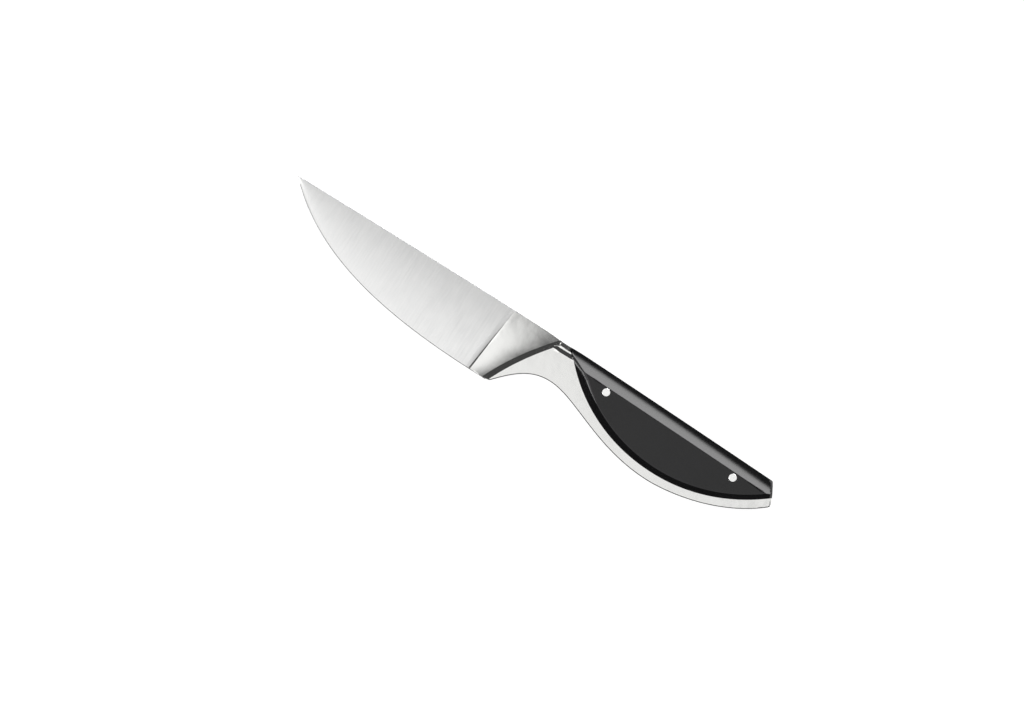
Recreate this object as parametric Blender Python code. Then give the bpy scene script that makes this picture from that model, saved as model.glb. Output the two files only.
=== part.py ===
"""A slicing knife: one steel forging from tip to butt, two moulded scales and two steel pins.

The knife lies on its right side, with its tip towards -X, its spine towards +Y and its left
scale up. All sizes are in metres and all angles in degrees. The plan of the knife (x, y) starts
at the heel: x grows towards the butt, and y is 0 at the crest of the spine and negative towards
the cutting edge. z is 0 on the middle plane, which both sides mirror.
"""

import math

import bmesh
import bpy
from mathutils import Vector
from mathutils.geometry import interpolate_bezier

# Blade
BLADE_LENGTH = 0.1175
BLADE_DEPTH = 0.0322
SPINE_THICKNESS = 0.0024
TIP_THICKNESS = 0.0005
TAPER_POWER = 0.5
TIP_HEIGHT = 0.0003
EDGE_THICKNESS = 0.0001
GRIND_POWER = 2.3
BEVEL_WIDTH = 0.0008
BEVEL_THICKNESS = 0.0004
TIP_DROP = 0.00145
TIP_ANGLE = 44.0
EDGE_PULLS = (0.28, 0.46)

# Arch of the spine, whose crest lies just behind the heel
CREST_X = 0.003
BLADE_ARCH = 1.5
HANDLE_ARCH = 1.4

# Bolster, which flares from the crease at the blade to the step at the handle
CREASE_TO_HEEL = 0.0097
CREASE_LEAN = 0.0033
CREASE_STEP = 0.0003
CREASE_RADIUS = 0.0036
REAR_TOP_X = 0.0171
REAR_LOW_X = -0.0032
REAR_BOW = 0.0017
STEP_RUN = 0.0028
BOLSTER_THICKNESS = 0.0072
FLARE_POWER = 1.3
FULLEST_AT = 0.49
SPINE_SAG = 0.0001
HEEL_SAG = 0.0005

# Handle, from the heel to the butt. Its belly ends a little higher than the heel, so that the
# cutting edge meets the board first
HANDLE_LENGTH = 0.13335
HANDLE_THICKNESS = 0.014
TANG_THICKNESS = 0.004
EDGE_BREAK = 0.0004
HEEL_ANGLE = 48.0
HEEL_RADIUS = 0.004
HEEL_PULLS = (0.38, 0.38)
GROOVE_X = 0.0231
GROOVE_DEPTH = 0.01785
BELLY_X = 0.0812
BELLY_RISE = 0.0008
BELLY_PULLS = (0.23, 0.45)
BUTT_DROP = 0.0022
BUTT_DEPTH = 0.0121
BUTT_SLANT = 0.0053
BUTT_ANGLE = 42.0
BUTT_PULLS = (0.16, 0.44)
BUTT_TOP_RADIUS = 0.0012
BUTT_LOW_RADIUS = 0.0018

# Rib along the spine between the bolster and the scales
RIB_LENGTH = 0.0058
RIB_WIDTH = 0.0039
RIB_THICKNESS = 0.0059
RIB_DROP = 0.0003

# Scales
STRIP_WIDTH = 0.00395
SEAM_ANGLE = 50.0
SEAM_SHARE = 0.15
FRONT_PULLS = (0.33, 0.39)
SCALE_BUTT_ANGLE = 40.0
REAR_PULLS = (0.35, 0.34)
ROLL_WIDTH = 0.0061
ROLL_TILT = 22.0
ROLL_EDGE = 0.0016
ROLL_EDGE_TILT = 40.0
ROLL_PULLS = (0.33, 0.50)

# Chamfer along the scales' sides: its tilt from the flat face, and its width in plan, which grows
# from the seam to the front of the curve and shrinks again towards the butt
CHAMFER_TILT = 38.0
SEAM_CHAMFER = 0.0008
FRONT_CHAMFER = 0.0036
BELLY_CHAMFER = 0.0024
REAR_CHAMFER = 0.0020
END_CHAMFER = 0.0010

# Pins
PIN_DIAMETER = 0.0035
FRONT_PIN_BACK = 0.02315
FRONT_PIN_DEPTH = 0.0082
REAR_PIN_FORWARD = 0.02115
REAR_PIN_DEPTH = 0.0085

# Fits: the gap between two pieces, and how far a joined shape reaches into its neighbour
FIT_GAP = 0.0003
SINK = 0.0002
OVERCUT = 0.001

# Fineness of the curves, and the angle from which an edge between two faces looks sharp
BLADE_STATIONS = 18
CREASE_STATIONS = 4
FLARE_STATIONS = 9
FLANK_COLUMNS = 9
TONGUE_STEPS = 6
CURVE_STEPS = 16
ROLL_STEPS = 8
ARC_STEPS = 5
PIN_SIDES = 32
SHARP_ANGLE = 20.0

HALF_TANG = TANG_THICKNESS / 2
HALF_HANDLE = HANDLE_THICKNESS / 2
BELLY_DEPTH = BLADE_DEPTH - BELLY_RISE
SCALE_FRONT_X = REAR_TOP_X + RIB_LENGTH


def mix(a, b, share):
    return a + (b - a) * share


def heading(degrees):
    """The plan direction at this angle from +X."""
    return Vector((math.cos(math.radians(degrees)), math.sin(math.radians(degrees))))


def curve(start, start_heading, end, end_heading, pulls, steps=CURVE_STEPS):
    """Plan points of one smooth curve. How far it keeps to each heading is a share, its pull, of
    the straight distance."""
    reach = (end - start).length
    first = start + heading(start_heading) * pulls[0] * reach
    last = end - heading(end_heading) * pulls[1] * reach
    return [point.to_2d() for point in interpolate_bezier(start, first, last, end, steps + 1)]


def rounded(before, corner, after, radius):
    """Plan points of the arc that rounds a corner between two of its neighbours."""
    back = (before - corner).normalized()
    on = (after - corner).normalized()
    half_turn = (math.pi - back.angle(on)) / 2
    reach = radius * math.tan(half_turn)
    middle = corner + (back + on).normalized() * radius / math.cos(half_turn)
    start = corner + back * reach - middle
    turn = 2 * half_turn * (1 if back.x * on.y < back.y * on.x else -1)
    arc = []
    for step in range(ARC_STEPS + 1):
        angle = turn * step / ARC_STEPS
        arc.append(middle + Vector((start.x * math.cos(angle) - start.y * math.sin(angle),
                                    start.x * math.sin(angle) + start.y * math.cos(angle))))
    return arc


def inset(points, distances):
    """A plan outline that runs anticlockwise, each point moved inwards by its own distance."""
    moved = []
    for i, point in enumerate(points):
        before = (point - points[i - 1]).normalized()
        after = (points[(i + 1) % len(points)] - point).normalized()
        along = (before + after).normalized()
        inwards = Vector((-along.y, along.x))
        moved.append(point + inwards * distances[i] / along.dot(after))
    return moved


def level(points, z):
    """A ring of 3-D points: the plan outline at one height."""
    return [Vector((point.x, point.y, z)) for point in points]


def spine_y(x):
    """The spine is one shallow arch, with its crest at y = 0."""
    if x < CREST_X:
        return -TIP_DROP * ((CREST_X - x) / (BLADE_LENGTH + CREST_X)) ** BLADE_ARCH
    return -BUTT_DROP * ((x - CREST_X) / (BUTT_TOP.x - CREST_X)) ** HANDLE_ARCH


def spine_point(x):
    return Vector((x, spine_y(x)))


BUTT_TOP = Vector((HANDLE_LENGTH - BUTT_SLANT, -BUTT_DROP))
BUTT_LOW = Vector((HANDLE_LENGTH, -BUTT_DEPTH))


def make_material(name, colour, metallic, roughness):
    material = bpy.data.materials.new(name)
    material.use_nodes = True
    shader = material.node_tree.nodes["Principled BSDF"]
    shader.inputs["Base Color"].default_value = (*colour, 1.0)
    shader.inputs["Metallic"].default_value = metallic
    shader.inputs["Roughness"].default_value = roughness
    return material


def make_object(name, shape, material=None):
    """A named object from a bmesh. Without a material it is a helper, which no render shows."""
    bmesh.ops.recalc_face_normals(shape, faces=shape.faces)
    mesh = bpy.data.meshes.new(name)
    shape.to_mesh(mesh)
    shape.free()
    mesh.shade_smooth()
    mesh.set_sharp_from_angle(angle=math.radians(SHARP_ANGLE))
    made = bpy.data.objects.new(name, mesh)
    bpy.context.scene.collection.objects.link(made)
    made.parent = knife
    if material:
        mesh.materials.append(material)
    else:
        made.hide_render = True
        made.display_type = "WIRE"
    return made


def through_rings(rings):
    """A closed shape through rings that have equally many points, capped at both ends. Its sides
    are triangles, which are flat, so that a Boolean cuts them cleanly."""
    shape = bmesh.new()
    loops = [[shape.verts.new(point) for point in ring] for ring in rings]
    sides = []
    for low, high in zip(loops, loops[1:]):
        for i in range(len(low)):
            sides.append(shape.faces.new((low[i - 1], low[i], high[i], high[i - 1])))
    bmesh.ops.triangulate(shape, faces=sides)
    shape.faces.new(loops[0])
    shape.faces.new(loops[-1])
    return shape


def join(target, other, operation):
    step = target.modifiers.new(f"{operation.lower()} {other.name}", "BOOLEAN")
    step.operation = operation
    step.object = other
    step.solver = "EXACT"


# Blade and bolster. A section runs from the spine to the edge, at a share t of that way.
def crease_x(t):
    return mix(CREASE_LEAN, 0, t) - CREASE_TO_HEEL


def rear_x(t):
    return mix(REAR_TOP_X, REAR_LOW_X, t) - REAR_BOW * 4 * t * (1 - t)


def flank_point(x, t, top_x, low_y):
    return Vector((x, mix(spine_y(top_x), low_y, t)))


def columns(depth):
    """Shares of the way from spine to edge: even ones down to the ground bevel, and the edge."""
    bevel_at = 1 - min(BEVEL_WIDTH / depth, 0.5)
    return [bevel_at * i / (FLANK_COLUMNS - 1) for i in range(FLANK_COLUMNS)] + [1.0]


def blade_half(share, t, bevel_at):
    """Half the blade's thickness at this share of the way from tip to bolster."""
    if t > bevel_at:
        return mix(BEVEL_THICKNESS, EDGE_THICKNESS, (t - bevel_at) / (1 - bevel_at)) / 2
    spine = mix(TIP_THICKNESS, SPINE_THICKNESS, share ** TAPER_POWER)
    return mix(spine, BEVEL_THICKNESS, (t / bevel_at) ** GRIND_POWER) / 2


def rear_half(t):
    """Half the bolster's thickness along its rear arris, fullest where the knife lies on it."""
    if t < FULLEST_AT:
        return BOLSTER_THICKNESS / 2 - SPINE_SAG * ((FULLEST_AT - t) / FULLEST_AT) ** 2
    return BOLSTER_THICKNESS / 2 - HEEL_SAG * ((t - FULLEST_AT) / (1 - FULLEST_AT)) ** 2


def section(points, halves):
    """The ring of one section: down its left flank and back up its right one."""
    left = [Vector((point.x, point.y, half)) for point, half in zip(points, halves)]
    right = [Vector((point.x, point.y, -half)) for point, half in zip(points, halves)]
    return left + right[::-1]


def blade_sections():
    start = Vector((-BLADE_LENGTH, -TIP_DROP - TIP_HEIGHT))
    end = Vector((crease_x(1), -BLADE_DEPTH))
    edge = curve(start, -TIP_ANGLE, end, 0, EDGE_PULLS, BLADE_STATIONS)
    edge = [point for point in edge if point.x < end.x - CREASE_RADIUS]
    for station in range(1, CREASE_STATIONS + 1):
        edge.append(end - Vector((CREASE_RADIUS * (1 - station / CREASE_STATIONS), 0)))
    sections = []
    for low in edge:
        share = (low.x - start.x) / (end.x - start.x)
        top_x = low.x + CREASE_LEAN * share ** 2
        ts = columns(spine_y(top_x) - low.y)
        points = [flank_point(mix(top_x, low.x, t), t, top_x, low.y) for t in ts]
        radius_share = max(0, 1 - (end.x - low.x) / CREASE_RADIUS)
        halves = [blade_half(share, t, ts[-2]) + CREASE_STEP * t * radius_share ** 3 for t in ts]
        sections.append(section(points, halves))
    return sections


def flare_sections():
    ts = columns(BLADE_DEPTH)
    sections = []
    for station in range(1, FLARE_STATIONS + 1):
        r = station / FLARE_STATIONS
        top_x = mix(crease_x(0), rear_x(0), r)
        points = [flank_point(mix(crease_x(t), rear_x(t), r), t, top_x, -BLADE_DEPTH) for t in ts]
        halves = []
        for t in ts:
            front = blade_half(1, t, ts[-2]) + CREASE_STEP * t
            halves.append(mix(front, rear_half(t), r ** FLARE_POWER))
        sections.append(section(points, halves))
    return sections


def step_section():
    """The foot of the steep step behind the bolster, sunk into the tang."""
    ts = columns(BLADE_DEPTH)
    heel = heel_arc()[ARC_STEPS // 2]
    top = spine_y(REAR_TOP_X + STEP_RUN) - RIB_DROP - 2 * SINK
    sunk = HALF_TANG - 3 * SINK
    points = []
    for t in ts:
        x = rear_x(t) + STEP_RUN * (rear_half(t) - sunk) / (rear_half(t) - HALF_TANG)
        furthest_x = mix(REAR_TOP_X + STEP_RUN, heel.x, t)
        points.append(Vector((min(x, furthest_x), mix(top, heel.y + SINK, t))))
    return section(points, [sunk] * len(ts))


# Tang: the plate between the scales, whose face shows below and in front of them
def heel_arc():
    corner = Vector((0, -BLADE_DEPTH))
    return rounded(corner + heading(180), corner, corner + heading(HEEL_ANGLE), HEEL_RADIUS)


def tang_outline():
    """Anticlockwise, from the tongue inside the bolster along the heel, belly, butt and spine."""
    heel = heel_arc()
    groove = Vector((GROOVE_X, -GROOVE_DEPTH))
    belly = Vector((BELLY_X, -BELLY_DEPTH))
    outline = [Vector((rear_x(1) - SINK, SINK - BLADE_DEPTH))]
    outline += heel[:-1]
    outline += curve(heel[-1], HEEL_ANGLE, groove, 0, HEEL_PULLS)[:-1]
    outline += curve(groove, 0, belly, 0, BELLY_PULLS)[:-1]
    rear = curve(belly, 0, BUTT_LOW, BUTT_ANGLE, BUTT_PULLS)
    low = rounded(rear[-2], BUTT_LOW, BUTT_TOP, BUTT_LOW_RADIUS)
    outline += [point for point in rear if (point - BUTT_LOW).length > (low[0] - BUTT_LOW).length]
    outline += low
    spine = []
    for step in range(1, CURVE_STEPS + 1):
        spine.append(spine_point(mix(BUTT_TOP.x, SCALE_FRONT_X, step / CURVE_STEPS)))
    outline += rounded(BUTT_LOW, BUTT_TOP, spine[0], BUTT_TOP_RADIUS) + spine
    under_rib = Vector((0, -RIB_DROP - SINK))
    outline.append(spine_point(SCALE_FRONT_X - FIT_GAP) + under_rib)
    outline.append(spine_point(REAR_TOP_X) + under_rib)
    for step in range(1, TONGUE_STEPS):
        t = step / TONGUE_STEPS
        outline.append(flank_point(rear_x(t) - STEP_RUN, t, REAR_TOP_X, -BLADE_DEPTH))
    return outline


def make_tang(bores):
    outline = tang_outline()
    broken = inset(outline, [EDGE_BREAK] * len(outline))
    rings = [level(broken, -HALF_TANG), level(outline, -HALF_TANG + EDGE_BREAK),
             level(outline, HALF_TANG - EDGE_BREAK), level(broken, HALF_TANG)]
    tang = make_object("tang_plate", through_rings(rings))
    for bore in bores:
        join(tang, bore, "DIFFERENCE")
    return tang


# Scales: a prism with a rolled spine side, which a trimmer with chamfered sides cuts to its outline
def scale_plan():
    """The scale's plan outline and the width of the chamfer at each of its points. It stays open
    at the spine, where it runs on past the knife."""
    tip = spine_point(SCALE_FRONT_X)
    belly = Vector((BELLY_X, STRIP_WIDTH - BELLY_DEPTH))
    up_butt = (BUTT_TOP - BUTT_LOW).normalized()
    low = BUTT_LOW + up_butt * STRIP_WIDTH
    front = curve(tip, -SEAM_ANGLE, belly, 0, FRONT_PULLS)
    rear = curve(belly, 0, low, SCALE_BUTT_ANGLE, REAR_PULLS)[1:]
    points = [tip - heading(-SEAM_ANGLE) * ROLL_WIDTH] + front + rear
    points.append(BUTT_TOP + up_butt * ROLL_WIDTH)
    widths = [SEAM_CHAMFER]
    for step in range(CURVE_STEPS + 1):
        share = step / CURVE_STEPS
        full_width = mix(FRONT_CHAMFER, BELLY_CHAMFER, share)
        widths.append(mix(SEAM_CHAMFER, full_width, min(1, share / SEAM_SHARE)))
    widths += [mix(BELLY_CHAMFER, REAR_CHAMFER, (i + 1) / len(rear)) for i in range(len(rear))]
    widths.append(END_CHAMFER)
    return points, widths


def scale_sides(side):
    """A shape with the scale's sides, plumb up to the chamfer's foot, which reaches past its top
    and its bottom."""
    points, widths = scale_plan()
    slope = math.tan(math.radians(CHAMFER_TILT))
    feet = []
    for point, width in zip(points, widths):
        feet.append(Vector((point.x, point.y, side * (HALF_HANDLE - width * slope))))
    above = inset(points, [width + OVERCUT / slope for width in widths])
    return through_rings([level(points, side * (HALF_TANG + FIT_GAP - OVERCUT)), feet,
                          level(above, side * (HALF_HANDLE + OVERCUT))])


def roll_profile():
    """(distance from the spine, half thickness) down the rolled side, from the spine."""
    edge = Vector((0, HALF_TANG + ROLL_EDGE))
    arris = Vector((ROLL_WIDTH, HALF_HANDLE))
    return curve(edge, ROLL_EDGE_TILT, arris, ROLL_TILT, ROLL_PULLS, ROLL_STEPS)


def make_scale(name, side, bores, material):
    """side is 1 on the left and -1 on the right."""
    foot = HALF_TANG + FIT_GAP
    profile = roll_profile() + [Vector((BELLY_DEPTH, HALF_HANDLE)), Vector((BELLY_DEPTH, foot))]
    profile.append(Vector((0, foot)))
    rings = []
    for step in range(CURVE_STEPS + 1):
        x = mix(SCALE_FRONT_X - ROLL_WIDTH, HANDLE_LENGTH + OVERCUT, step / CURVE_STEPS)
        rings.append([Vector((x, spine_y(x) - away, side * z)) for away, z in profile])
    scale = make_object(name, through_rings(rings), material)
    for bore in bores:
        join(scale, bore, "DIFFERENCE")
    join(scale, make_object(f"{name}_sides", scale_sides(side)), "INTERSECT")


def make_rib():
    """A bar with round ends, which the scales' fronts cut off on either side of the tang."""
    radius = RIB_WIDTH / 2
    profile = []
    for step in range(2 * ARC_STEPS + 1):
        angle = math.pi * step / (2 * ARC_STEPS)
        away = radius - radius * math.cos(angle)
        profile.append(Vector((away, RIB_THICKNESS / 2 - radius + radius * math.sin(angle))))
    profile += [Vector((away, -z)) for away, z in reversed(profile)]
    rings = []
    for step in range(ARC_STEPS + 1):
        x = mix(REAR_TOP_X - STEP_RUN, SCALE_FRONT_X + RIB_WIDTH, step / ARC_STEPS)
        rings.append([Vector((x, spine_y(x) - RIB_DROP - away, z)) for away, z in profile])
    rib = make_object("spine_rib", through_rings(rings))
    points, _ = scale_plan()
    room = inset(points, [-FIT_GAP] * len(points))
    for side in (-1, 1):
        inner = level(room, side * (HALF_TANG - SINK))
        outer = level(room, side * (HALF_HANDLE + OVERCUT))
        join(rib, make_object(f"scale_room_{side}", through_rings([inner, outer])), "DIFFERENCE")
    return rib


# Pins
def cylinder(radius, length):
    shape = bmesh.new()
    bmesh.ops.create_cone(shape, cap_ends=True, segments=PIN_SIDES, radius1=radius,
                          radius2=radius, depth=length)
    return shape


def make_pin(name, place, material):
    pin = make_object(name, cylinder(PIN_DIAMETER / 2, HANDLE_THICKNESS), material)
    pin.location = (*place, 0)
    return pin


def make_bore(name, place):
    bore = make_object(name, cylinder(PIN_DIAMETER / 2 + FIT_GAP, HANDLE_THICKNESS + OVERCUT))
    bore.location = (*place, 0)
    return bore


for old in list(bpy.data.objects):
    bpy.data.objects.remove(old, do_unlink=True)

# The knife's plan is centred on the origin, and its right side rests on z = 0
knife = bpy.data.objects.new("knife", None)
bpy.context.scene.collection.objects.link(knife)
plan = tang_outline()
lowest = min(-BLADE_DEPTH, min(point.y for point in plan))
furthest = max(point.x for point in plan)
knife.location = ((BLADE_LENGTH - furthest) / 2, -lowest / 2, HALF_HANDLE)

satin_steel = make_material("forged_steel", (0.60, 0.60, 0.61), 1.0, 0.28)
black_acetal = make_material("black_acetal", (0.012, 0.012, 0.013), 0.0, 0.32)
pin_steel = make_material("pin_steel", (0.78, 0.78, 0.78), 1.0, 0.15)

front_place = spine_point(SCALE_FRONT_X + FRONT_PIN_BACK) - Vector((0, FRONT_PIN_DEPTH))
rear_place = spine_point(HANDLE_LENGTH - REAR_PIN_FORWARD) - Vector((0, REAR_PIN_DEPTH))
bores = []
for name, place in (("front", front_place), ("rear", rear_place)):
    make_pin(f"{name}_pin", place, pin_steel)
    bores.append(make_bore(f"{name}_bore", place))

forging = make_object(
    "forged_blade", through_rings(blade_sections() + flare_sections() + [step_section()]), satin_steel)
join(forging, make_tang(bores), "UNION")
join(forging, make_rib(), "UNION")

make_scale("left_scale", 1, bores, black_acetal)
make_scale("right_scale", -1, bores, black_acetal)
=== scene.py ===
import math

import bmesh
import bpy
import numpy as np
from mathutils import Matrix, Vector


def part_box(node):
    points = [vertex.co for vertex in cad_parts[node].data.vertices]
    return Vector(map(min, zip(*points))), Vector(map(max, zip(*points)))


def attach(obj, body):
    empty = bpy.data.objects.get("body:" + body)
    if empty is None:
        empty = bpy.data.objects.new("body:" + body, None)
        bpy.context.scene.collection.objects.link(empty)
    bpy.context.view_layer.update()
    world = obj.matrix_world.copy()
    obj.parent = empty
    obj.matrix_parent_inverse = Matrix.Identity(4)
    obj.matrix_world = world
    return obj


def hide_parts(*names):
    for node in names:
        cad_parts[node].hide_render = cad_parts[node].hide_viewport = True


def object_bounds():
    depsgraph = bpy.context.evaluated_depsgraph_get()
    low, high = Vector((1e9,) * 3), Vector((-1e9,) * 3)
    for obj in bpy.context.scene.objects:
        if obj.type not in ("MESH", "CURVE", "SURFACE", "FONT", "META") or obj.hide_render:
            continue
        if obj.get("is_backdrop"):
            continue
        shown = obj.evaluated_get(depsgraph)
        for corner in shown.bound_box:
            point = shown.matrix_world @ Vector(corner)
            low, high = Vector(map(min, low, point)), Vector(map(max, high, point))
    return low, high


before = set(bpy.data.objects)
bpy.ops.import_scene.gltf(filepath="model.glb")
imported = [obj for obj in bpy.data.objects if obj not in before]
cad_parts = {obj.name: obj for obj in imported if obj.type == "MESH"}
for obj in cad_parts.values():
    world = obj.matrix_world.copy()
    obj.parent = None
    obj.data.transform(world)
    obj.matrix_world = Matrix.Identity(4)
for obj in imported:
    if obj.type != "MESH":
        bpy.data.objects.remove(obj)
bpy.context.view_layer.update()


# Forging. Blade, bolster and tang are one piece of stainless steel: drop forged, the blade ground
# to a thin convex taper, the bolster and the tang polished. Sizes are in millimetres on the knife's
# own plan: x runs from the heel to the butt, y up to the spine's crest, z out of the middle plane.
BLADE_LENGTH = 117.5
BLADE_DEPTH = 32.2
SPINE_THICKNESS = 2.4
TIP_THICKNESS = 0.5
TIP_HEIGHT = 0.3
TIP_DROP = 1.45
TIP_ANGLE = 44
EDGE_PULLS = (0.28, 0.46)
GRIND_POWER = 2.3
BEVEL_WIDTH = 0.25
BEVEL_THICKNESS = 0.42
BEVEL_TILT = 32

CREST_X = 3.0
BLADE_ARCH = 1.5
HANDLE_ARCH = 1.4
NECK_X = 20
NECK_REACH = 6
NECK_DIP = 0.3

CREASE_TO_HEEL = 10.05
CREASE_LEAN = 3.65
CREASE_STEP = 0.32
CREASE_WIDTH = 0.65
CREASE_DIP = 0.3
DIP_AT_SPINE = 2.6
DIP_AT_EDGE = 2.0
REAR_TOP_X = 17.1
REAR_LOW_X = -3.2
REAR_BOW = 1.7
STEP_RUN = 2.8
BOLSTER_THICKNESS = 7.2
FLARE_POWER = 1.3
HEEL_POWER = 1.0
FULLEST_AT = 0.49
SPINE_SAG = 0.1
HEEL_SAG = 0.45
SAG_POWER = 3.1
HEEL_SAG_POWER = 1.1

HANDLE_LENGTH = 133.32
HANDLE_THICKNESS = 14.0
TANG_THICKNESS = 4.0
HEEL_ANGLE = 48
HEEL_RADIUS = 4.0
HEEL_PULLS = (0.38, 0.38)
GROOVE = np.array([23.1, -17.85])
BELLY = np.array([81.2, -31.4])
BELLY_PULLS = (0.23, 0.45)
BUTT_TOP = np.array([128.05, -2.2])
BUTT_LOW = np.array([HANDLE_LENGTH, -12.1])
BUTT_ANGLE = 42
BUTT_PULLS = (0.16, 0.44)
BUTT_TOP_RADIUS = 1.2
BUTT_LOW_RADIUS = 1.85
CORNER_PULLS = (0.37, 0.37)
EDGE_BREAK = 0.36
BREAK_TILT = 32
SPINE_ROUND = 0.08

HALF_HANDLE = HANDLE_THICKNESS / 2
HALF_TANG = TANG_THICKNESS / 2


def mix(a, b, share):
    return a + (b - a) * share


def arch(t):
    """A shallow arch over the shares from 0 to 1, which is 1 in the middle."""
    return 4 * t * (1 - t)


def slope(degrees):
    return math.tan(math.radians(degrees))


def heading(degrees):
    return np.array([math.cos(math.radians(degrees)), math.sin(math.radians(degrees))])


CURVE_STEPS = 600
CORNER_STEPS = 40
HEEL_STEPS = 60


def curve(start, start_heading, end, end_heading, pulls, steps=CURVE_STEPS):
    """Plan points of one smooth curve. How far it keeps to each heading is a share, its pull, of
    the straight distance."""
    reach = np.linalg.norm(end - start)
    first = start + heading(start_heading) * pulls[0] * reach
    last = end - heading(end_heading) * pulls[1] * reach
    t = np.linspace(0, 1, steps + 1)[:, None]
    return ((1 - t) ** 3 * start + 3 * (1 - t) ** 2 * t * first
            + 3 * (1 - t) * t ** 2 * last + t ** 3 * end)


def round_drop(distance, radius):
    """How far a rounded edge has fallen at this distance from the side."""
    left = np.clip(radius - distance, 0, radius)
    return radius - np.sqrt(radius ** 2 - left ** 2)


def spine_y(x):
    """The spine is one shallow arch, with its crest at y = 0, and dips a little at the neck."""
    ahead = np.clip(CREST_X - x, 0, None) / (BLADE_LENGTH + CREST_X)
    behind = np.clip(x - CREST_X, 0, None) / (BUTT_TOP[0] - CREST_X)
    neck = NECK_DIP * np.exp(-((x - NECK_X) / NECK_REACH) ** 2)
    return BUTT_TOP[1] * behind ** HANDLE_ARCH - TIP_DROP * ahead ** BLADE_ARCH - neck


# The lower outline from the tip to the butt: cutting edge, heel, finger groove, belly and butt
tip = np.array([-BLADE_LENGTH, -TIP_DROP - TIP_HEIGHT])
crease_low = np.array([-CREASE_TO_HEEL, -BLADE_DEPTH])
heel_reach = HEEL_RADIUS * slope(HEEL_ANGLE / 2)
heel_end = np.array([0, -BLADE_DEPTH]) + heading(HEEL_ANGLE) * heel_reach
heel_turn = np.linspace(0, math.radians(HEEL_ANGLE), HEEL_STEPS)
heel = np.stack([HEEL_RADIUS * np.sin(heel_turn) - heel_reach,
                 HEEL_RADIUS * (1 - np.cos(heel_turn)) - BLADE_DEPTH], axis=1)
lower = np.concatenate([
    curve(tip, -TIP_ANGLE, crease_low, 0, EDGE_PULLS),
    heel,
    curve(heel_end, HEEL_ANGLE, GROOVE, 0, HEEL_PULLS)[1:],
    curve(GROOVE, 0, BELLY, 0, BELLY_PULLS)[1:],
    curve(BELLY, 0, BUTT_LOW, BUTT_ANGLE, BUTT_PULLS)[1:]])


# The butt: a straight end, rounded where it meets the spine and the lower edge
butt_lean = math.degrees(math.atan2(BUTT_LOW[0] - BUTT_TOP[0], BUTT_TOP[1] - BUTT_LOW[1]))
butt_heading = butt_lean - 90
last_rise = spine_y(BUTT_TOP[0]) - spine_y(BUTT_TOP[0] - 1)
spine_heading = math.degrees(math.atan(last_rise))


def corner(point, arriving, leaving, radius):
    """Plan points that round a corner, from its one tangent point to the other."""
    reach = radius * abs(slope((leaving - arriving) / 2))
    return curve(point - heading(arriving) * reach, arriving,
                 point + heading(leaving) * reach, leaving, CORNER_PULLS, CORNER_STEPS)


rim = np.concatenate([
    corner(BUTT_TOP, spine_heading, butt_heading, BUTT_TOP_RADIUS),
    corner(BUTT_LOW, butt_heading, BUTT_ANGLE - 180, BUTT_LOW_RADIUS)])


def distance_to(points, line):
    """How far each plan point lies from a line of points, and which of its segments is nearest."""
    flat = points.reshape(-1, 1, 2)
    run = np.diff(line, axis=0)
    share = np.clip(((flat - line[:-1]) * run).sum(axis=2) / (run ** 2).sum(axis=1), 0, 1)
    gaps = np.linalg.norm(flat - line[:-1] - share[..., None] * run, axis=2)
    shape = points.shape[:-1]
    return gaps.min(axis=1).reshape(shape), gaps.argmin(axis=1).reshape(shape)


def low_y(x):
    return np.interp(x, lower[:, 0], lower[:, 1])


def low_inwards(x):
    """The direction square to the lower outline, into the knife."""
    step = 0.05
    rise = (low_y(x + step) - low_y(x - step)) / (2 * step)
    return np.stack([-rise, np.ones_like(rise)], axis=-1) / np.sqrt(1 + rise ** 2)[..., None]


def blade_half(share, t):
    """Half the blade's thickness, at this share of its length and of the way down to its edge."""
    spine_half = mix(TIP_THICKNESS, SPINE_THICKNESS, share) / 2
    return mix(spine_half, BEVEL_THICKNESS / 2, t ** GRIND_POWER)


def crease_x(t):
    """The crease between blade and bolster, at this share of the way down."""
    return mix(CREASE_LEAN, 0, t) - CREASE_TO_HEEL


def front_x(t):
    """The head of the low step that rises behind the crease."""
    return crease_x(t) + CREASE_WIDTH * t


def rear_x(t):
    """The bolster's rear arris, which bows towards the tip."""
    return mix(REAR_TOP_X, REAR_LOW_X, t) - REAR_BOW * arch(t)


def bolster_half(share, t):
    """Half the bolster's thickness, at this share of the way from its front to its rear arris."""
    above = np.clip(FULLEST_AT - t, 0, None) / FULLEST_AT
    below = np.clip(t - FULLEST_AT, 0, None) / (1 - FULLEST_AT)
    front = blade_half(1, t) + CREASE_STEP * t
    sag = SPINE_SAG * above ** 2 + HEEL_SAG * below ** 2
    rise = share ** mix(FLARE_POWER, HEEL_POWER, below)
    sag_share = share ** mix(SAG_POWER, HEEL_SAG_POWER, below)
    return mix(front, BOLSTER_THICKNESS / 2, rise) - sag * sag_share


# The neck between the bolster and the scales. Along the spine it carries a rib with a narrow crown,
# parted from the bolster by a valley, and cut off steeply under the scales' front.
NECK_LENGTH = 5.8
RIB_THICKNESS = 6.25
RIB_ARRIS = 1.8
RIB_SHOULDER = 2.68
RIB_TILT = 38
RIB_FALL = 32
RIB_LEAN = 1.5
SEAM_TILT = 75
STEP_FOOT = 0.81
STEP_VALLEY = 0.645
REAR_SLANT = 32
SCALE_FRONT_X = REAR_TOP_X + NECK_LENGTH
SEAM_ANGLE = 50


def rib_spine_side(away):
    """Half the rib's thickness between the spine and the crown, this far below the spine."""
    return RIB_THICKNESS / 2 - (RIB_ARRIS - away) * slope(RIB_TILT)


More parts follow.
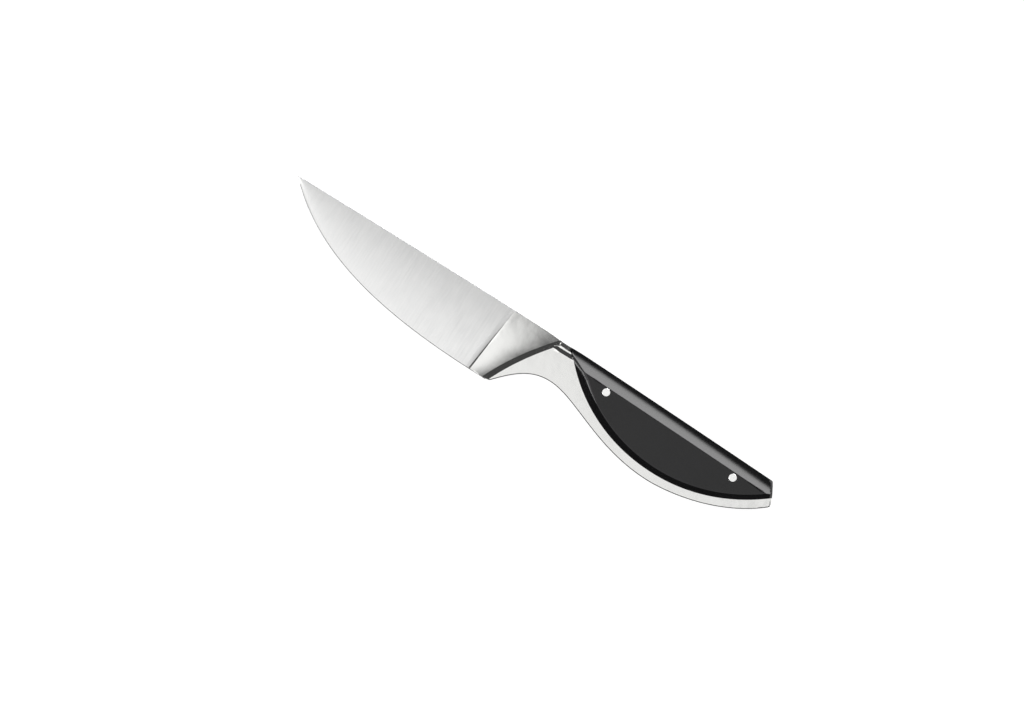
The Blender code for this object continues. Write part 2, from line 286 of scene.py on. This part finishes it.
def neck_half(x, away, behind_step):
    """Half the neck's thickness, this far below the spine and behind the foot of the step."""
    crown = RIB_THICKNESS / 2 - (away - RIB_ARRIS) * slope(RIB_LEAN)
    low_side = crown - (away - RIB_SHOULDER) * slope(RIB_FALL)
    profile = np.minimum(np.minimum(rib_spine_side(away), crown), low_side)
    profile = np.where(away > RIB_SHOULDER, np.maximum(profile, HALF_TANG), profile)
    to_seam = (SCALE_FRONT_X - x) * math.sin(math.radians(SEAM_ANGLE))
    to_seam = to_seam + away * math.cos(math.radians(SEAM_ANGLE))
    nose = behind_step * slope(RIB_TILT)
    ends = HALF_TANG + np.minimum(nose, np.clip(to_seam, 0, None) * slope(SEAM_TILT))
    return np.minimum(profile, ends)


# The forging's skin is a grid on its plan. Its lines run from the spine down to the lower outline,
# close together where the surface bends, and its rows cross them.
LINE_GAP = 1.0
GROOVE_LINE_GAP = 0.4
GROOVE_TO = 18
TANG_TO = 127
TIP_LINES = LINE_GAP * np.array([0.1, 0.25, 0.5])
CREASE_LINES = 16
FLARE_LINES = 45
VALLEY_LINES = 7
FOOT_LINES = 5
END_LINES = np.array([0, 0.12, 0.24, EDGE_BREAK, 0.42, 0.6, 0.9, 1.3, 1.8, 2.4, 3.1, 3.9])[::-1]
crease_start = -CREASE_TO_HEEL - DIP_AT_SPINE
blade_low = np.unique(np.concatenate([
    np.arange(-BLADE_LENGTH, crease_start, LINE_GAP), TIP_LINES - BLADE_LENGTH,
    np.linspace(crease_start, -CREASE_TO_HEEL, CREASE_LINES)]))
blade_share = (blade_low + BLADE_LENGTH) / (BLADE_LENGTH - CREASE_TO_HEEL)
flare_share = np.linspace(0, 1, FLARE_LINES)
step_share = np.append(np.linspace(0, STEP_VALLEY, VALLEY_LINES)[1:],
                       np.linspace(STEP_VALLEY, 1, FOOT_LINES)[1:])
tang_low = np.concatenate([
    np.arange(GROOVE_LINE_GAP, GROOVE_TO, GROOVE_LINE_GAP), np.arange(GROOVE_TO, TANG_TO, LINE_GAP),
    rim[-1, 0] - END_LINES / math.cos(math.radians(butt_lean))])
tang_share = tang_low / rim[-1, 0]

# Behind the bolster the lines fan out, from the slant of its step to square across the tang, and at
# the end they lean back with the butt
FOOT_LOW_X = -0.2
FAN = REAR_TOP_X + STEP_RUN - FOOT_LOW_X
FAN_REACH = 24
BOW_REACH = 6
LEAN_POWER = 6
BLADE, FLARE, STEP, TANG = range(4)

low_x = np.concatenate([
    blade_low,
    mix(front_x(1), REAR_LOW_X, flare_share),
    mix(REAR_LOW_X, FOOT_LOW_X, step_share),
    tang_low])
top_x = np.concatenate([
    blade_low + CREASE_LEAN * blade_share ** 2,
    mix(front_x(0), REAR_TOP_X, flare_share),
    REAR_TOP_X + STEP_RUN * step_share,
    tang_low + FAN * np.exp(-tang_low / FAN_REACH)
    - (rim[-1, 0] - rim[0, 0]) * tang_share ** LEAN_POWER])
bow = np.concatenate([
    0 * blade_low, REAR_BOW * flare_share, REAR_BOW + 0 * step_share,
    REAR_BOW * np.exp(-tang_low / BOW_REACH)])
kinds = np.repeat([BLADE, FLARE, STEP, TANG],
                  [len(blade_low), len(flare_share), len(step_share), len(tang_low)])
shares = np.concatenate([blade_share, flare_share, step_share, tang_share])

# The rows keep fixed distances from the spine and from the lower outline, and spread evenly between
ROUND_ROWS = 6
RIB_SIDE_ROWS = 9
CROWN_ROWS = 7
MIDDLE_ROWS = 22
MOST_SHARE = 0.45
rib_foot = RIB_SHOULDER + (RIB_THICKNESS / 2 - HALF_TANG) / slope(RIB_FALL)
top_rows = np.concatenate([
    SPINE_ROUND * (1 - np.cos(np.linspace(0, math.pi / 2, ROUND_ROWS))),
    np.linspace(SPINE_ROUND, RIB_ARRIS, RIB_SIDE_ROWS)[1:],
    np.linspace(RIB_ARRIS, RIB_SHOULDER, CROWN_ROWS)[1:],
    np.linspace(RIB_SHOULDER, rib_foot, RIB_SIDE_ROWS)[1:]])
low_rows = np.array([0, 0.12, BEVEL_WIDTH, EDGE_BREAK, 0.6, 0.9])[::-1]

top = np.stack([top_x, spine_y(top_x)], axis=1)
low = np.stack([low_x, low_y(low_x)], axis=1)
depth = top[:, 1] - low[:, 1]
inwards = low_inwards(low_x)
on_bolster = (kinds == FLARE) | (kinds == STEP)
inwards[on_bolster] = ((top - low) / depth[:, None])[on_bolster]

# Near the tip, where the blade is shallow, the rows draw together
top_squeeze = np.minimum(1, MOST_SHARE * depth / top_rows[-1])[:, None]
top_t = top_rows[None, :] * top_squeeze / depth[:, None]
top_points = mix(top[:, None], low[:, None], top_t[..., None])
low_squeeze = np.minimum(1, MOST_SHARE * depth / low_rows[0])[:, None]
low_away = low_rows[None, :] * low_squeeze
low_points = low[:, None] + inwards[:, None] * low_away[..., None]
between = np.linspace(0, 1, MIDDLE_ROWS + 2)[1:-1][None, :, None]
middle_points = mix(top_points[:, -1:], low_points[:, :1], between)
plan = np.concatenate([top_points, middle_points, low_points], axis=1)
t = (top[:, None, 1] - plan[..., 1]) / depth[:, None]
plan[..., 0] -= bow[:, None] * arch(t)

# Only the last rows, and the last lines at the butt, come near the lower outline
FAR = 99.0
BUTT_LINES = 20
BUTT_REACH = 5.0
from_low = np.full(t.shape, FAR)
from_low[:, -len(low_rows):] = low_away


def bow_out(plan, end, near):
    """Moves the last line of plan points out onto a rounded end, and the lines near it along."""
    run = np.linalg.norm(plan[-1] - plan[-1, 0], axis=1)
    length = np.append(0, np.cumsum(np.linalg.norm(np.diff(end, axis=0), axis=1)))
    reach = run / run[-1] * length[-1]
    last = np.stack([np.interp(reach, length, end[:, i]) for i in (0, 1)], axis=1)
    return plan + (last - plan[-1]) * np.clip(near, 0, 1)[:, None, None] ** 2


plan = bow_out(plan, rim, 1 - (rim[-1, 0] - low_x) / BUTT_REACH)
from_rim = distance_to(plan, rim)[0]
from_low[-BUTT_LINES:] = distance_to(plan[-BUTT_LINES:], lower[-CURVE_STEPS:])[0]

# Heights of the left side above the middle plane. The step behind the bolster falls to the tang, and
# over the rib it falls further, into the valley.
share = shares[:, None] + 0 * t
away = spine_y(plan[..., 0]) - plan[..., 1]
to_crease = crease_x(t) - plan[..., 0]
dip = CREASE_DIP * t * np.clip(1 - to_crease / mix(DIP_AT_SPINE, DIP_AT_EDGE, t), 0, 1) ** 2
blade_z = blade_half(share, t) * (1 - dip)
blade_z -= np.clip(BEVEL_WIDTH - from_low, 0, None) * slope(BEVEL_TILT)
flare_z = bolster_half(share, t)
low_break = mix(BEVEL_WIDTH, EDGE_BREAK, share)
flare_z -= np.clip(low_break - from_low, 0, None) * slope(BREAK_TILT)
broken = np.clip(EDGE_BREAK - np.minimum(from_low, from_rim), 0, None) * slope(BREAK_TILT)
behind_step = (plan[..., 0] - rear_x(t)) * math.cos(math.radians(REAR_SLANT)) - STEP_FOOT
neck_z = neck_half(plan[..., 0], away, np.clip(behind_step, 0, None)) - broken
valley_half = mix(BOLSTER_THICKNESS / 2, HALF_TANG, STEP_VALLEY)
further = np.clip(valley_half - rib_spine_side(away), 0, None)
step_z = mix(bolster_half(1, t), HALF_TANG, share) - further * np.minimum(share / STEP_VALLEY, 1)
step_z = np.maximum(step_z - broken, neck_z)
kind = kinds[:, None] + 0 * t
half = np.select([kind == BLADE, kind == FLARE, kind == STEP], [blade_z, flare_z, step_z], neck_z)
half -= np.where(half > 2 * SPINE_ROUND, round_drop(away, SPINE_ROUND), 0)

# Where the plan lies in the frame
MM = 0.001
forging_low, forging_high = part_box("forged_blade")
origin = Vector((forging_low.x + BLADE_LENGTH * MM, forging_low.y + BLADE_DEPTH * MM,
                 (forging_low.z + forging_high.z) / 2))


def sheet(points):
    """A grid of side 1, each of its points moved to the one given for its column and row."""
    columns, rows = points.shape[:2]
    shape = bmesh.new()
    bmesh.ops.create_grid(shape, x_segments=columns - 1, y_segments=rows - 1, size=0.5)
    for vert in shape.verts:
        column = round((vert.co.x + 0.5) * (columns - 1))
        row = round((vert.co.y + 0.5) * (rows - 1))
        vert.co = Vector(points[column, row])
    return shape


SHARP_ANGLE = 20
MERGE_GAP = 0.0005
LEAST_EDGE = 0.0002


def finish_piece(name, shape, nodes):
    """A bmesh on the knife's plan becomes a piece in the frame, which stands for its CAD nodes."""
    bmesh.ops.remove_doubles(shape, verts=shape.verts, dist=MERGE_GAP)
    bmesh.ops.dissolve_degenerate(shape, edges=shape.edges, dist=LEAST_EDGE)
    bmesh.ops.recalc_face_normals(shape, faces=shape.faces)
    bmesh.ops.scale(shape, verts=shape.verts, vec=(MM, MM, MM))
    bmesh.ops.translate(shape, verts=shape.verts, vec=origin)
    mesh = bpy.data.meshes.new(name)
    shape.to_mesh(mesh)
    shape.free()
    mesh.shade_smooth()
    mesh.set_sharp_from_angle(angle=math.radians(SHARP_ANGLE))
    piece = bpy.data.objects.new(name, mesh)
    bpy.context.scene.collection.objects.link(piece)
    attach(piece, "root")
    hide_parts(*nodes)
    evened = piece.modifiers.new("normals by face area", "WEIGHTED_NORMAL")
    evened.keep_sharp = True
    return piece


# A line and a row more on each side bring the skin down to the middle plane, and its mirror image
# closes it
points = np.concatenate([plan, half[..., None]], axis=2)
points = np.pad(points, ((1, 1), (1, 1), (0, 0)), mode="edge")
points[[0, -1], :, 2] = 0
points[:, [0, -1], 2] = 0
shape = sheet(points)
bmesh.ops.mirror(shape, geom=shape.verts[:] + shape.edges[:] + shape.faces[:],
                 matrix=Matrix.Identity(4), merge_dist=MERGE_GAP, axis="Z")
forging = finish_piece("steel_forging", shape, ["forged_blade"])


def hex_colour(text):
    """An sRGB colour such as 'C8C8C8' as the linear one that a shader takes."""
    channels = [int(text[i:i + 2], 16) / 255 for i in (0, 2, 4)]
    linear = [c / 12.92 if c <= 0.04045 else ((c + 0.055) / 1.055) ** 2.4 for c in channels]
    return (*linear, 1.0)


def add(tree, kind, inputs=None, **settings):
    """Adds a node. Its inputs are values, or the sockets that they are linked from."""
    node = tree.nodes.new(kind)
    for key, value in settings.items():
        setattr(node, key, value)
    for key, value in (inputs or {}).items():
        if isinstance(value, bpy.types.NodeSocket):
            tree.links.new(value, node.inputs[key])
        else:
            node.inputs[key].default_value = value
    return node


def new_material(name, colour, metallic, roughness):
    material = bpy.data.materials.new(name)
    material.use_nodes = True
    shader = material.node_tree.nodes["Principled BSDF"]
    shader.inputs["Base Color"].default_value = hex_colour(colour)
    shader.inputs["Metallic"].default_value = metallic
    shader.inputs["Roughness"].default_value = roughness
    return material, material.node_tree, shader


def grain(tree, size, detail=2.0):
    """Noise on the piece itself, with features of this size in millimetres along x, y and z."""
    place = add(tree, "ShaderNodeTexCoord").outputs["Object"]
    scale = tuple(1 / (side * MM) for side in size)
    place = add(tree, "ShaderNodeMapping", {"Vector": place, "Scale": scale}).outputs["Vector"]
    noise = add(tree, "ShaderNodeTexNoise", {"Vector": place, "Scale": 1.0, "Detail": detail})
    return noise.outputs["Fac"]


NOISE_LOW = 0.3
NOISE_HIGH = 0.7


def vary_finish(tree, shader, stain, colours, rub, roughness, dents, depth):
    """One pattern stains the piece between two colours, one rubs it between two roughnesses, and
    one dents it, this many millimetres deep."""
    stained = add(tree, "ShaderNodeMix", {"Factor": stain, "A": hex_colour(colours[0]),
                                          "B": hex_colour(colours[1])}, data_type="RGBA")
    tree.links.new(stained.outputs["Result"], shader.inputs["Base Color"])
    rubbed = add(tree, "ShaderNodeMapRange",
                 {"Value": rub, "From Min": NOISE_LOW, "From Max": NOISE_HIGH,
                  "To Min": roughness[0], "To Max": roughness[1]})
    tree.links.new(rubbed.outputs["Result"], shader.inputs["Roughness"])
    dented = add(tree, "ShaderNodeBump", {"Height": dents, "Strength": 1.0, "Distance": depth * MM})
    tree.links.new(dented.outputs["Normal"], shader.inputs["Normal"])


# Stainless steel, satin ground: the belt left fine lines across the blade and small cloudy spots,
# which soften what it mirrors. Its grit leaves a line each 0.06 mm, drawn six times as coarse.
satin_steel, tree, shader = new_material("satin_ground_stainless", "D5D5D4",
                                         metallic=1.0, roughness=0.22)
lines = grain(tree, size=(0.36, 14, 14), detail=3.0)
clouds = grain(tree, size=(7, 9, 9))
both = add(tree, "ShaderNodeMath", {0: lines, 1: clouds}, operation="ADD").outputs[0]
average = add(tree, "ShaderNodeMath", {0: both, 1: 0.5}, operation="MULTIPLY").outputs[0]
vary_finish(tree, shader, stain=average, colours=("BBBBBB", "EFEFEE"),
            rub=average, roughness=(0.18, 0.27), dents=lines, depth=0.002)

# Stainless steel, polished: the buffing wheel left broad, very shallow ripples on the bolster and
# the tang, and hazy spots between brighter ones
polished_steel, tree, shader = new_material("polished_stainless", "EBEBE9",
                                            metallic=1.0, roughness=0.14)
haze = grain(tree, size=(2.2, 3.5, 3.5), detail=3.0)
ripples = grain(tree, size=(4, 7, 7))
vary_finish(tree, shader, stain=haze, colours=("E4E4E2", "F2F2F0"),
            rub=haze, roughness=(0.1, 0.18), dents=ripples, depth=0.03)

# The blade is satin up to the crease, and all behind it is polished
forging.data.materials.append(satin_steel)
forging.data.materials.append(polished_steel)
for face in forging.data.polygons:
    centre = (face.center - origin) / MM
    t_here = -centre.y / BLADE_DEPTH
    face.material_index = int(centre.x > crease_x(t_here))


# Scales. Two black acetal mouldings, one on each side of the tang, with a fine matte grain. They are
# rolled over towards the spine and chamfered along the curve, where a strip of the tang stays bare.
STRIP_WIDTH = 3.95
SEAM_GAP = 0.03
SCALE_BUTT_ANGLE = 40
FRONT_PULLS = (0.33, 0.39)
REAR_PULLS = (0.35, 0.34)
OUTLINE_STEPS = 300
ROLL_WIDTH = 6.1
ROLL_TILT = 22
FRONT_ROLL_EDGE = 1.64
REAR_ROLL_EDGE = 1.32
ROLL_EDGE_TILT = 40
FRONT_ROLL_PULLS = (0.31, 0.5)
REAR_ROLL_PULLS = (0.42, 0.41)
CHAMFER_TILT = 38
SEAM_CHAMFER = 0.6
FRONT_CHAMFER = 3.6
BELLY_CHAMFER = 2.55
REAR_CHAMFER = 2.2
END_CHAMFER = 1.0
SEAM_SHARE = 0.25
ARRIS = 0.1
SEAM_ARRIS = 1.6
SEAM_ARRIS_RUN = 22
ROLL_ARRIS = 0.03

scale_tip = np.array([SCALE_FRONT_X, spine_y(SCALE_FRONT_X)])
scale_belly = BELLY + np.array([0, STRIP_WIDTH])
up_butt = -heading(butt_heading)
scale_low = BUTT_LOW + up_butt * STRIP_WIDTH
scale_rim = np.concatenate([rim[:CORNER_STEPS + 1], scale_low[None]])
front = curve(scale_tip, -SEAM_ANGLE, scale_belly, 0, FRONT_PULLS, OUTLINE_STEPS)
rear = curve(scale_belly, 0, scale_low, SCALE_BUTT_ANGLE, REAR_PULLS, OUTLINE_STEPS)[1:]
outline = np.concatenate([front, rear])

# The chamfer along the outline starts narrow at the seam, widens and then narrows to the butt
front_share = np.linspace(0, 1, len(front))
full_width = mix(FRONT_CHAMFER, BELLY_CHAMFER, front_share)
front_width = mix(SEAM_CHAMFER, full_width, np.minimum(1, front_share / SEAM_SHARE))
rear_width = mix(BELLY_CHAMFER, REAR_CHAMFER, np.linspace(0, 1, len(rear)))
outline_width = np.concatenate([front_width, rear_width])

# The roll's section at both ends: how thick half the handle is, this far below the spine
roll_arris = np.array([ROLL_WIDTH, HALF_HANDLE])
front_roll = curve(np.array([0, HALF_TANG + FRONT_ROLL_EDGE]), ROLL_EDGE_TILT, roll_arris,
                   ROLL_TILT, FRONT_ROLL_PULLS)
rear_roll = curve(np.array([0, HALF_TANG + REAR_ROLL_EDGE]), ROLL_EDGE_TILT, roll_arris,
                  ROLL_TILT, REAR_ROLL_PULLS)


def soft_min(a, b, blend):
    """The lower of two heights, with the arris between them rounded."""
    near = np.clip(0.5 + (b - a) / (2 * blend), 0, 1)
    return mix(b, a, near) - blend * near * (1 - near)


# Lines and rows, as on the forging. The lines lie closest at the scale's tip, fan out a little from
# there and lean back with the butt.
FRONT_RUN = 13
FRONT_LINES = 66
FRONT_CROWDING = 1.4
END_RUN = 3
END_RUN_LINES = 19
LEAD = 4
LEAD_REACH = 5
TURNED_LINES = 12
ROLL_ROWS = 18
ROLL_ARRIS_ROWS = np.array([-0.2, -0.1, 0, 0.1, 0.25])
SCALE_MIDDLE_ROWS = 24
MOST_SCALE_SHARE = 0.42
LEAST_DEPTH = 1e-6
CHAMFER_ROWS = np.array([1.12, 1.06, 1.0, 0.94, 0.88, 0.7, 0.5, 0.3, 0.15, 0.08, 0.03, 0])
even_start = SCALE_FRONT_X + (FRONT_RUN + LINE_GAP)
end_start = scale_low[0] - END_RUN
line_x = np.concatenate([
    SCALE_FRONT_X + FRONT_RUN * np.linspace(0, 1, FRONT_LINES) ** FRONT_CROWDING,
    np.arange(even_start, end_start, LINE_GAP),
    end_start + np.linspace(0, END_RUN, END_RUN_LINES)])
along = (line_x - SCALE_FRONT_X) / (scale_low[0] - SCALE_FRONT_X)
low = np.stack([line_x, np.interp(line_x, outline[:, 0], outline[:, 1])], axis=1)
lead = LEAD * (1 - np.exp(-(line_x - SCALE_FRONT_X) / LEAD_REACH)) * (1 - along ** 2)
top_x = line_x + lead - (scale_low[0] - rim[0, 0]) * along ** LEAN_POWER
top = np.stack([top_x, spine_y(top_x)], axis=1)
depth = np.maximum(top[:, 1] - low[:, 1], LEAST_DEPTH)
rise = np.gradient(low[:, 1], low[:, 0])
inwards = np.stack([-rise, np.ones_like(rise)], axis=1) / np.sqrt(1 + rise ** 2)[:, None]
turned = np.linspace(0, 1, TURNED_LINES)[:, None]
inwards[-TURNED_LINES:] = mix(inwards[-TURNED_LINES:], up_butt, turned)
width = np.interp(line_x, outline[:, 0], outline_width)
arris_rows = ROLL_WIDTH + ROLL_ARRIS_ROWS
roll_rows = np.concatenate([np.linspace(0, arris_rows[0], ROLL_ROWS), arris_rows[1:]])
top_squeeze = np.minimum(1, MOST_SCALE_SHARE * depth / roll_rows[-1])[:, None]
top_t = roll_rows[None, :] * top_squeeze / depth[:, None]
top_points = mix(top[:, None], low[:, None], top_t[..., None])
low_squeeze = np.minimum(1, MOST_SCALE_SHARE * depth / (width * CHAMFER_ROWS[0]))[:, None]
low_away = CHAMFER_ROWS[None, :] * width[:, None] * low_squeeze
low_points = low[:, None] + inwards[:, None] * low_away[..., None]
between = np.linspace(0, 1, SCALE_MIDDLE_ROWS + 2)[1:-1][None, :, None]
middle_points = mix(top_points[:, -1:], low_points[:, :1], between)
plan = np.concatenate([top_points, middle_points, low_points], axis=1)
plan = bow_out(plan, scale_rim, 1 - (scale_low[0] - line_x) / BUTT_REACH)

# Heights of the left scale: the lowest of the roll, the flat face and the chamfer, whose arris is
# soft at the seam, and at the butt a last chamfer off it
away = spine_y(plan[..., 0]) - plan[..., 1]
from_outline, nearest = distance_to(plan, outline)
from_outline[:, -len(CHAMFER_ROWS):] = low_away
arris = mix(SEAM_ARRIS, ARRIS, np.clip((plan[..., 0] - SCALE_FRONT_X) / SEAM_ARRIS_RUN, 0, 1))
front_z = np.interp(away, front_roll[:, 0], front_roll[:, 1])
rear_z = np.interp(away, rear_roll[:, 0], rear_roll[:, 1])
past_roll = np.clip(away - ROLL_WIDTH, 0, None)
roll_z = mix(front_z, rear_z, along[:, None] ** 2) + past_roll * slope(ROLL_TILT)
chamfer_z = HALF_HANDLE + (from_outline - outline_width[nearest]) * slope(CHAMFER_TILT)
half = soft_min(roll_z, HALF_HANDLE + 0 * roll_z, ROLL_ARRIS)
half = soft_min(half, chamfer_z, arris)
to_butt = distance_to(plan, scale_rim)[0]
half -= np.clip(END_CHAMFER - to_butt, 0, None) * slope(CHAMFER_TILT)


def scale_shape():
    """The moulding's outer skin, and its walls and its flat back by an extrusion."""
    shape = sheet(np.concatenate([plan, half[..., None]], axis=2))
    grown = bmesh.ops.extrude_face_region(shape, geom=shape.faces[:])["geom"]
    for vert in (v for v in grown if isinstance(v, bmesh.types.BMVert)):
        vert.co.z = HALF_TANG + SEAM_GAP
    return shape


left_scale = finish_piece("acetal_scale_left", scale_shape(), ["left_scale"])
shape = scale_shape()
bmesh.ops.scale(shape, verts=shape.verts, vec=(1, 1, -1))
right_scale = finish_piece("acetal_scale_right", shape, ["right_scale"])

# Acetal, moulded: black to the eye, with a soft gloss over the fine grain that the mould's eroded
# wall leaves. The grain is 0.15 mm, drawn about twice as coarse.
ACETAL_IOR = 1.48
acetal, tree, shader = new_material("moulded_black_acetal", "101011", metallic=0.0, roughness=0.18)
shader.inputs["IOR"].default_value = ACETAL_IOR
pits = grain(tree, size=(0.32, 0.32, 0.32), detail=1.0)
flow = grain(tree, size=(18, 9, 9))
vary_finish(tree, shader, stain=flow, colours=("0C0C0D", "141415"),
            rub=pits, roughness=(0.15, 0.22), dents=pits, depth=0.01)
left_scale.data.materials.append(acetal)
right_scale.data.materials.append(acetal)


# Pins. Two plain steel rods, pressed through bores in both scales and the tang to hold them fast,
# and ground flush with both faces.
PIN_DIAMETER = 3.5
PIN_EDGE = 0.06
PIN_SIDES = 64
BORE_GAP = 0.02
DRILL_OVERRUN = 1
LEVEL_WITHIN = 1e-6


def rod(place, diameter, length):
    """A rod square through the middle plane, at a place on the plan."""
    shape = bmesh.new()
    bmesh.ops.create_cone(shape, cap_ends=True, segments=PIN_SIDES, radius1=diameter / 2,
                          radius2=diameter / 2, depth=length)
    bmesh.ops.translate(shape, verts=shape.verts, vec=(*place, 0))
    return shape


# Steel rod, its ends ground flush with the scales: bright, with the fine lines of the last belt
bright_steel, tree, shader = new_material("bright_steel_rod", "FAFAF8", metallic=1.0, roughness=0.12)
lines = grain(tree, size=(5, 0.3, 5))
vary_finish(tree, shader, stain=lines, colours=("F6F6F4", "FFFFFE"),
            rub=lines, roughness=(0.1, 0.18), dents=lines, depth=0.002)

# Each pin stands in the middle of its box in the frame
for name in ("front_pin", "rear_pin"):
    pin_low, pin_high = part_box(name)
    place = (((pin_low + pin_high) / 2 - origin) / MM)[:2]
    shape = rod(place, PIN_DIAMETER, HANDLE_THICKNESS)
    ends = [edge for edge in shape.edges
            if abs(edge.verts[0].co.z - edge.verts[1].co.z) < LEVEL_WITHIN]
    bmesh.ops.bevel(shape, geom=ends, offset=PIN_EDGE, segments=2, profile=0.5, material=-1,
                    affect="EDGES")
    pin = finish_piece(f"steel_{name}", shape, [name])
    pin.data.materials.append(bright_steel)

    # A drill cuts its bore. The normals are evened only after that.
    drill_shape = rod(place, PIN_DIAMETER + 2 * BORE_GAP, HANDLE_THICKNESS + DRILL_OVERRUN)
    bmesh.ops.scale(drill_shape, verts=drill_shape.verts, vec=(MM, MM, MM))
    bmesh.ops.translate(drill_shape, verts=drill_shape.verts, vec=origin)
    drill_mesh = bpy.data.meshes.new("drill")
    drill_shape.to_mesh(drill_mesh)
    drill_shape.free()
    drill = bpy.data.objects.new("drill", drill_mesh)
    bpy.context.scene.collection.objects.link(drill)
    for piece in (forging, left_scale, right_scale):
        evened = piece.modifiers[0]
        evened.show_viewport = False
        cut = piece.modifiers.new("bore", "BOOLEAN")
        cut.operation = "DIFFERENCE"
        cut.object = drill
        evaluated = piece.evaluated_get(bpy.context.evaluated_depsgraph_get())
        piece.data = bpy.data.meshes.new_from_object(evaluated)
        piece.modifiers.remove(cut)
        piece.data.set_sharp_from_angle(angle=math.radians(SHARP_ANGLE))
        evened.show_viewport = True
    bpy.data.objects.remove(drill)


# Studio. A pale paper floor in a dim room with five soft round lights, which the steel mirrors. One
# is on the ceiling, and the others stand around the knife.
BASE_LIGHT = 0.06
HORIZON_FROM = 0.02
HORIZON_TO = 0.05


def direction(azimuth, tilt):
    """A direction this many degrees from straight up, towards an azimuth counted from +X to +Y."""
    around = math.radians(azimuth)
    out = math.radians(tilt)
    return (math.cos(around) * math.sin(out), math.sin(around) * math.sin(out), math.cos(out))


world = bpy.data.worlds.new("studio")
bpy.context.scene.world = world
world.use_nodes = True
tree = world.node_tree
toward = add(tree, "ShaderNodeTexCoord").outputs["Generated"]


def soft_light(azimuth, tilt, core, rim, brightness):
    """A round light, even up to its core's angle from its middle and gone at its rim's."""
    facing = add(tree, "ShaderNodeVectorMath", {0: toward, 1: direction(azimuth, tilt)},
                 operation="DOT_PRODUCT")
    light = add(tree, "ShaderNodeMapRange",
                {"Value": facing.outputs["Value"], "From Min": math.cos(math.radians(rim)),
                 "From Max": math.cos(math.radians(core)), "To Min": 0.0, "To Max": brightness},
                interpolation_type="SMOOTHSTEP")
    return light.outputs["Result"]


ceiling = soft_light(azimuth=277, tilt=12, core=13.4, rim=17.4, brightness=0.94)
tip_side = soft_light(azimuth=205, tilt=30.4, core=17.5, rim=30.6, brightness=1.03)
spine_side = soft_light(azimuth=90, tilt=44, core=8, rim=20, brightness=7.4)
front_strip = soft_light(azimuth=228, tilt=48, core=6, rim=15, brightness=6.0)
far_side = soft_light(azimuth=30, tilt=62, core=20, rim=36, brightness=0.75)
total = ceiling
for light in (tip_side, spine_side, front_strip, far_side):
    total = add(tree, "ShaderNodeMath", {0: total, 1: light}, operation="ADD").outputs[0]
height = add(tree, "ShaderNodeSeparateXYZ", {0: toward}).outputs["Z"]
horizon = add(tree, "ShaderNodeMapRange",
              {"Value": height, "From Min": HORIZON_FROM, "From Max": HORIZON_TO,
               "To Min": 1.0, "To Max": BASE_LIGHT},
              interpolation_type="SMOOTHSTEP").outputs["Result"]
total = add(tree, "ShaderNodeMath", {0: total, 1: horizon}, operation="ADD").outputs[0]
sky = tree.nodes["Background"]
sky.inputs["Color"].default_value = (1, 1, 1, 1)
tree.links.new(total, sky.inputs["Strength"])

# The paper looks white to the camera and in what the steel mirrors, but throws little light
FLOOR_WIDTH = 8.0
FLOOR_ALBEDO = 0.35
FLOOR_GLOW = 0.83
shape = bmesh.new()
bmesh.ops.create_grid(shape, x_segments=1, y_segments=1, size=FLOOR_WIDTH / 2)
mesh = bpy.data.meshes.new("floor")
shape.to_mesh(mesh)
shape.free()
floor = bpy.data.objects.new("floor", mesh)
bpy.context.scene.collection.objects.link(floor)
floor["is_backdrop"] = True
paper = bpy.data.materials.new("white_paper")
paper.use_nodes = True
tree = paper.node_tree
tree.nodes.clear()
output = add(tree, "ShaderNodeOutputMaterial")
paths = add(tree, "ShaderNodeLightPath").outputs
seen = add(tree, "ShaderNodeMath", {0: paths["Is Camera Ray"], 1: paths["Is Glossy Ray"]},
           operation="ADD").outputs[0]
seen = add(tree, "ShaderNodeMath", {0: seen, 1: paths["Is Transmission Ray"]},
           operation="ADD", use_clamp=True).outputs[0]
glow = add(tree, "ShaderNodeMath", {0: seen, 1: FLOOR_GLOW}, operation="MULTIPLY").outputs[0]
matte = add(tree, "ShaderNodeBsdfDiffuse", {"Color": (FLOOR_ALBEDO,) * 3 + (1.0,)})
shine = add(tree, "ShaderNodeEmission", {"Strength": glow})
both = add(tree, "ShaderNodeAddShader", {0: matte.outputs[0], 1: shine.outputs[0]})
tree.links.new(both.outputs[0], output.inputs["Surface"])
mesh.materials.append(paper)

# The camera looks straight down, turned so that the knife crosses the picture
LENS = 135.0
SENSOR = 36.0
PICTURE_WIDTH = 0.4439
TURN = 32.6
TARGET = Vector((-0.00418, -0.00187, 0.014))
CLIP_END = 20
camera_data = bpy.data.cameras.new("camera")
camera_data.lens = LENS
camera_data.sensor_width = SENSOR
camera_data.clip_end = CLIP_END
camera = bpy.data.objects.new("camera", camera_data)
bpy.context.scene.collection.objects.link(camera)
camera.location = TARGET + Vector((0, 0, PICTURE_WIDTH * LENS / SENSOR))
camera.rotation_euler = (0, 0, math.radians(TURN))
bpy.context.scene.camera = camera
bpy.context.scene.view_settings.view_transform = "Standard"

low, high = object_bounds()
